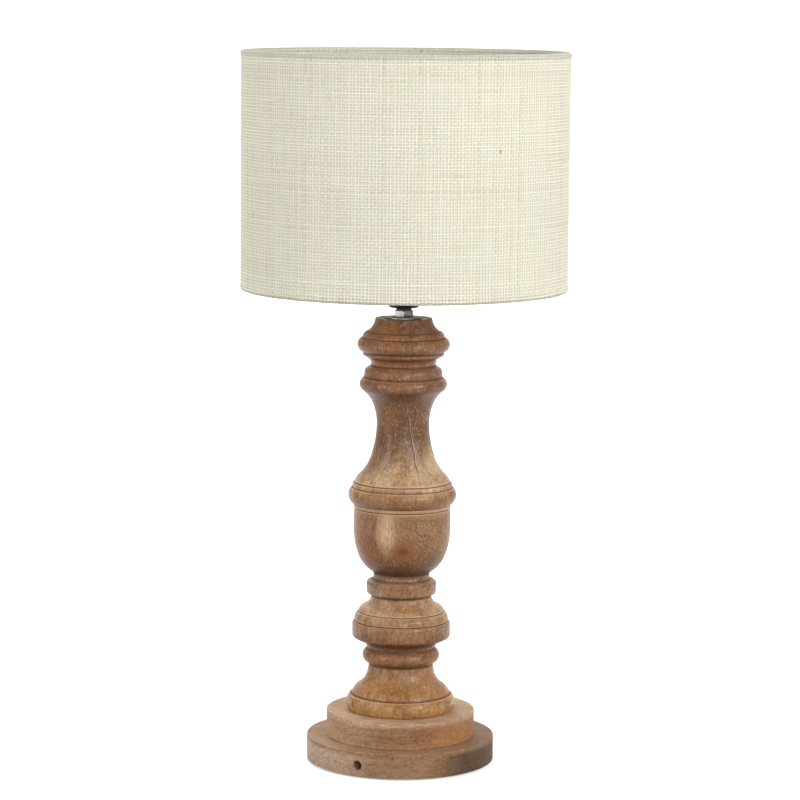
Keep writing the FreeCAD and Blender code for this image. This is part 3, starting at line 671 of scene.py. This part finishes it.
# ---------------------------------------------------------------- the felt under the base
def make_felt():
    """Pressed felt disc: its thickness and its cut edge are slightly uneven."""
    low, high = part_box("felt_pad")
    radius, thick = high.x, high.z - low.z
    columns, rings = 180, 22
    turns = np.arange(columns) * 2 * math.pi / columns
    edge = radius + 0.25 * MM * soft_noise(columns, 60)[0]
    share = np.linspace(0.02, 1.0, rings)
    layers = []
    for level, sign in ((0.0, 1), (thick, -1)):
        uneven = 0.07 * MM * np.abs(soft_noise(columns, 45, rings)) * sign
        uneven[-1] = 0.22 * MM * sign
        r = share[:, None] * edge
        layers.append(np.stack([r * np.cos(turns), r * np.sin(turns), level + uneven], -1))
    under, over = layers
    points = np.concatenate([under, over[::-1]]).reshape(-1, 3)
    faces = grid_quads(2 * rings, columns, wrap_rows=True, wrap_columns=True)
    pad = mesh_object("felt_disc", points, faces, "felt", "stand")
    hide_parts("felt_pad")


# ---------------------------------------------------------------- finishes of the CAD pieces
def finish_cad_nodes():
    """Gives each CAD node the material of its slot in the record."""
    for part in frame["record"]["subparts"]:
        node = frame["nodes"][part["node"]]
        node.data.materials.clear()
        node.data.materials.append(MATERIALS[part["material_slot"]])


# ---------------------------------------------------------------- studio
def make_studio():
    """Faintly glowing floor that curves up into a backdrop, a dim white sky and soft lights.

    The floor doesn't light the lamp. The side and back lights aren't mirrored in the lamp.
    """
    reach = 14.0     # how far the floor goes to the front and to each side
    back = 2.2       # where it starts to curve up
    bend_r = 1.2
    steps = 12
    top = 4.5
    curve = [(-reach, 0.0), (back, 0.0)]
    for i in range(1, steps + 1):
        a = math.radians(90 * i / steps)
        curve.append((back + bend_r * math.sin(a), bend_r - bend_r * math.cos(a)))
    curve.append((back + bend_r, top))
    points = [(side * reach, y, z) for y, z in curve for side in (-1, 1)]
    faces = [(2 * i, 2 * i + 1, 2 * i + 3, 2 * i + 2) for i in range(len(curve) - 1)]
    mesh = bpy.data.meshes.new("floor")
    mesh.from_pydata(points, [], faces)
    mesh.polygons.foreach_set("use_smooth", [True] * len(faces))
    floor = bpy.data.objects.new("floor", mesh)
    bpy.context.scene.collection.objects.link(floor)
    paper = Look("backdrop", Roughness=0.9)
    grain = paper.noise(paper.scaled(paper.place, (60, 60, 60)), detail=3.0)
    paper.set(Base_Color=paper.ramp(grain, (0.3, 0.90), (0.7, 0.93)))
    paper.set(Emission_Color=colour(255, 255, 255), Emission_Strength=0.30)
    mesh.materials.append(paper.material)
    floor.visible_diffuse = False

    world = bpy.data.worlds.new("studio")
    bpy.context.scene.world = world
    world.use_nodes = True
    nodes, links = world.node_tree.nodes, world.node_tree.links
    way = nodes.new("ShaderNodeTexCoord").outputs["Generated"]
    up = nodes.new("ShaderNodeSeparateXYZ")
    links.new(way, up.inputs[0])
    rise = nodes.new("ShaderNodeMapRange")
    links.new(up.outputs[2], rise.inputs["Value"])
    rise.inputs["From Min"].default_value = -0.15
    rise.inputs["From Max"].default_value = 0.35
    rise.inputs["To Min"].default_value = 0.04
    rise.inputs["To Max"].default_value = 0.11
    links.new(rise.outputs["Result"], nodes["Background"].inputs["Strength"])
    nodes["Background"].inputs["Color"].default_value = colour(255, 255, 255)

    softbox("key", (1.9, -2.0, 1.45), 1.0, 1.4, 70.0)
    softbox("left", (-2.0, -1.3, 1.05), 0.8, 1.8, 30.0)
    softbox("front", (0.3, -3.4, 0.9), 2.4, 1.2, 46.0)
    softbox("right_side", (2.6, 0.1, 0.8), 1.4, 1.6, 26.0, mirrored=False)
    softbox("left_side", (-2.6, 0.1, 0.8), 1.4, 1.6, 30.0, mirrored=False)
    softbox("back", (-0.6, 2.5, 1.7), 2.0, 1.2, 60.0, mirrored=False)
    softbox("backdrop", (0.0, 1.2, 3.2), 4.0, 1.0, 90.0, (0.0, 3.2, 0.8))


def softbox(name, place, width, height, watts, faces=(0.0, 0.0, 0.35), mirrored=True):
    """Rectangular soft light that faces a point, which is the lamp's column unless given."""
    light = bpy.data.lights.new(name, "AREA")
    light.shape = "RECTANGLE"
    light.size, light.size_y = width, height
    light.energy = watts
    lamp = bpy.data.objects.new(name, light)
    lamp.location = place
    lamp.visible_glossy = mirrored
    lamp.rotation_euler = (Vector(faces) - Vector(place)).to_track_quat("-Z", "Y").to_euler()
    bpy.context.scene.collection.objects.link(lamp)


def make_camera():
    """Long lens from the front, slightly above, tipped a little to one side."""
    data = bpy.data.cameras.new("camera")
    data.sensor_width = 36.0
    data.lens = 141.75
    camera = bpy.data.objects.new("camera", data)
    down = Matrix.Rotation(math.radians(90 - 7.6), 4, "X")
    roll = Matrix.Rotation(math.radians(0.52), 4, "Z")
    camera.matrix_world = Matrix.Translation((-0.0029, -2.913, 0.7305)) @ down @ roll
    bpy.context.scene.collection.objects.link(camera)
    bpy.context.scene.camera = camera
    bpy.context.scene.view_settings.view_transform = "Standard"


finish_cad_nodes()
weave_shade()
make_column()
make_felt()
make_studio()
make_camera()
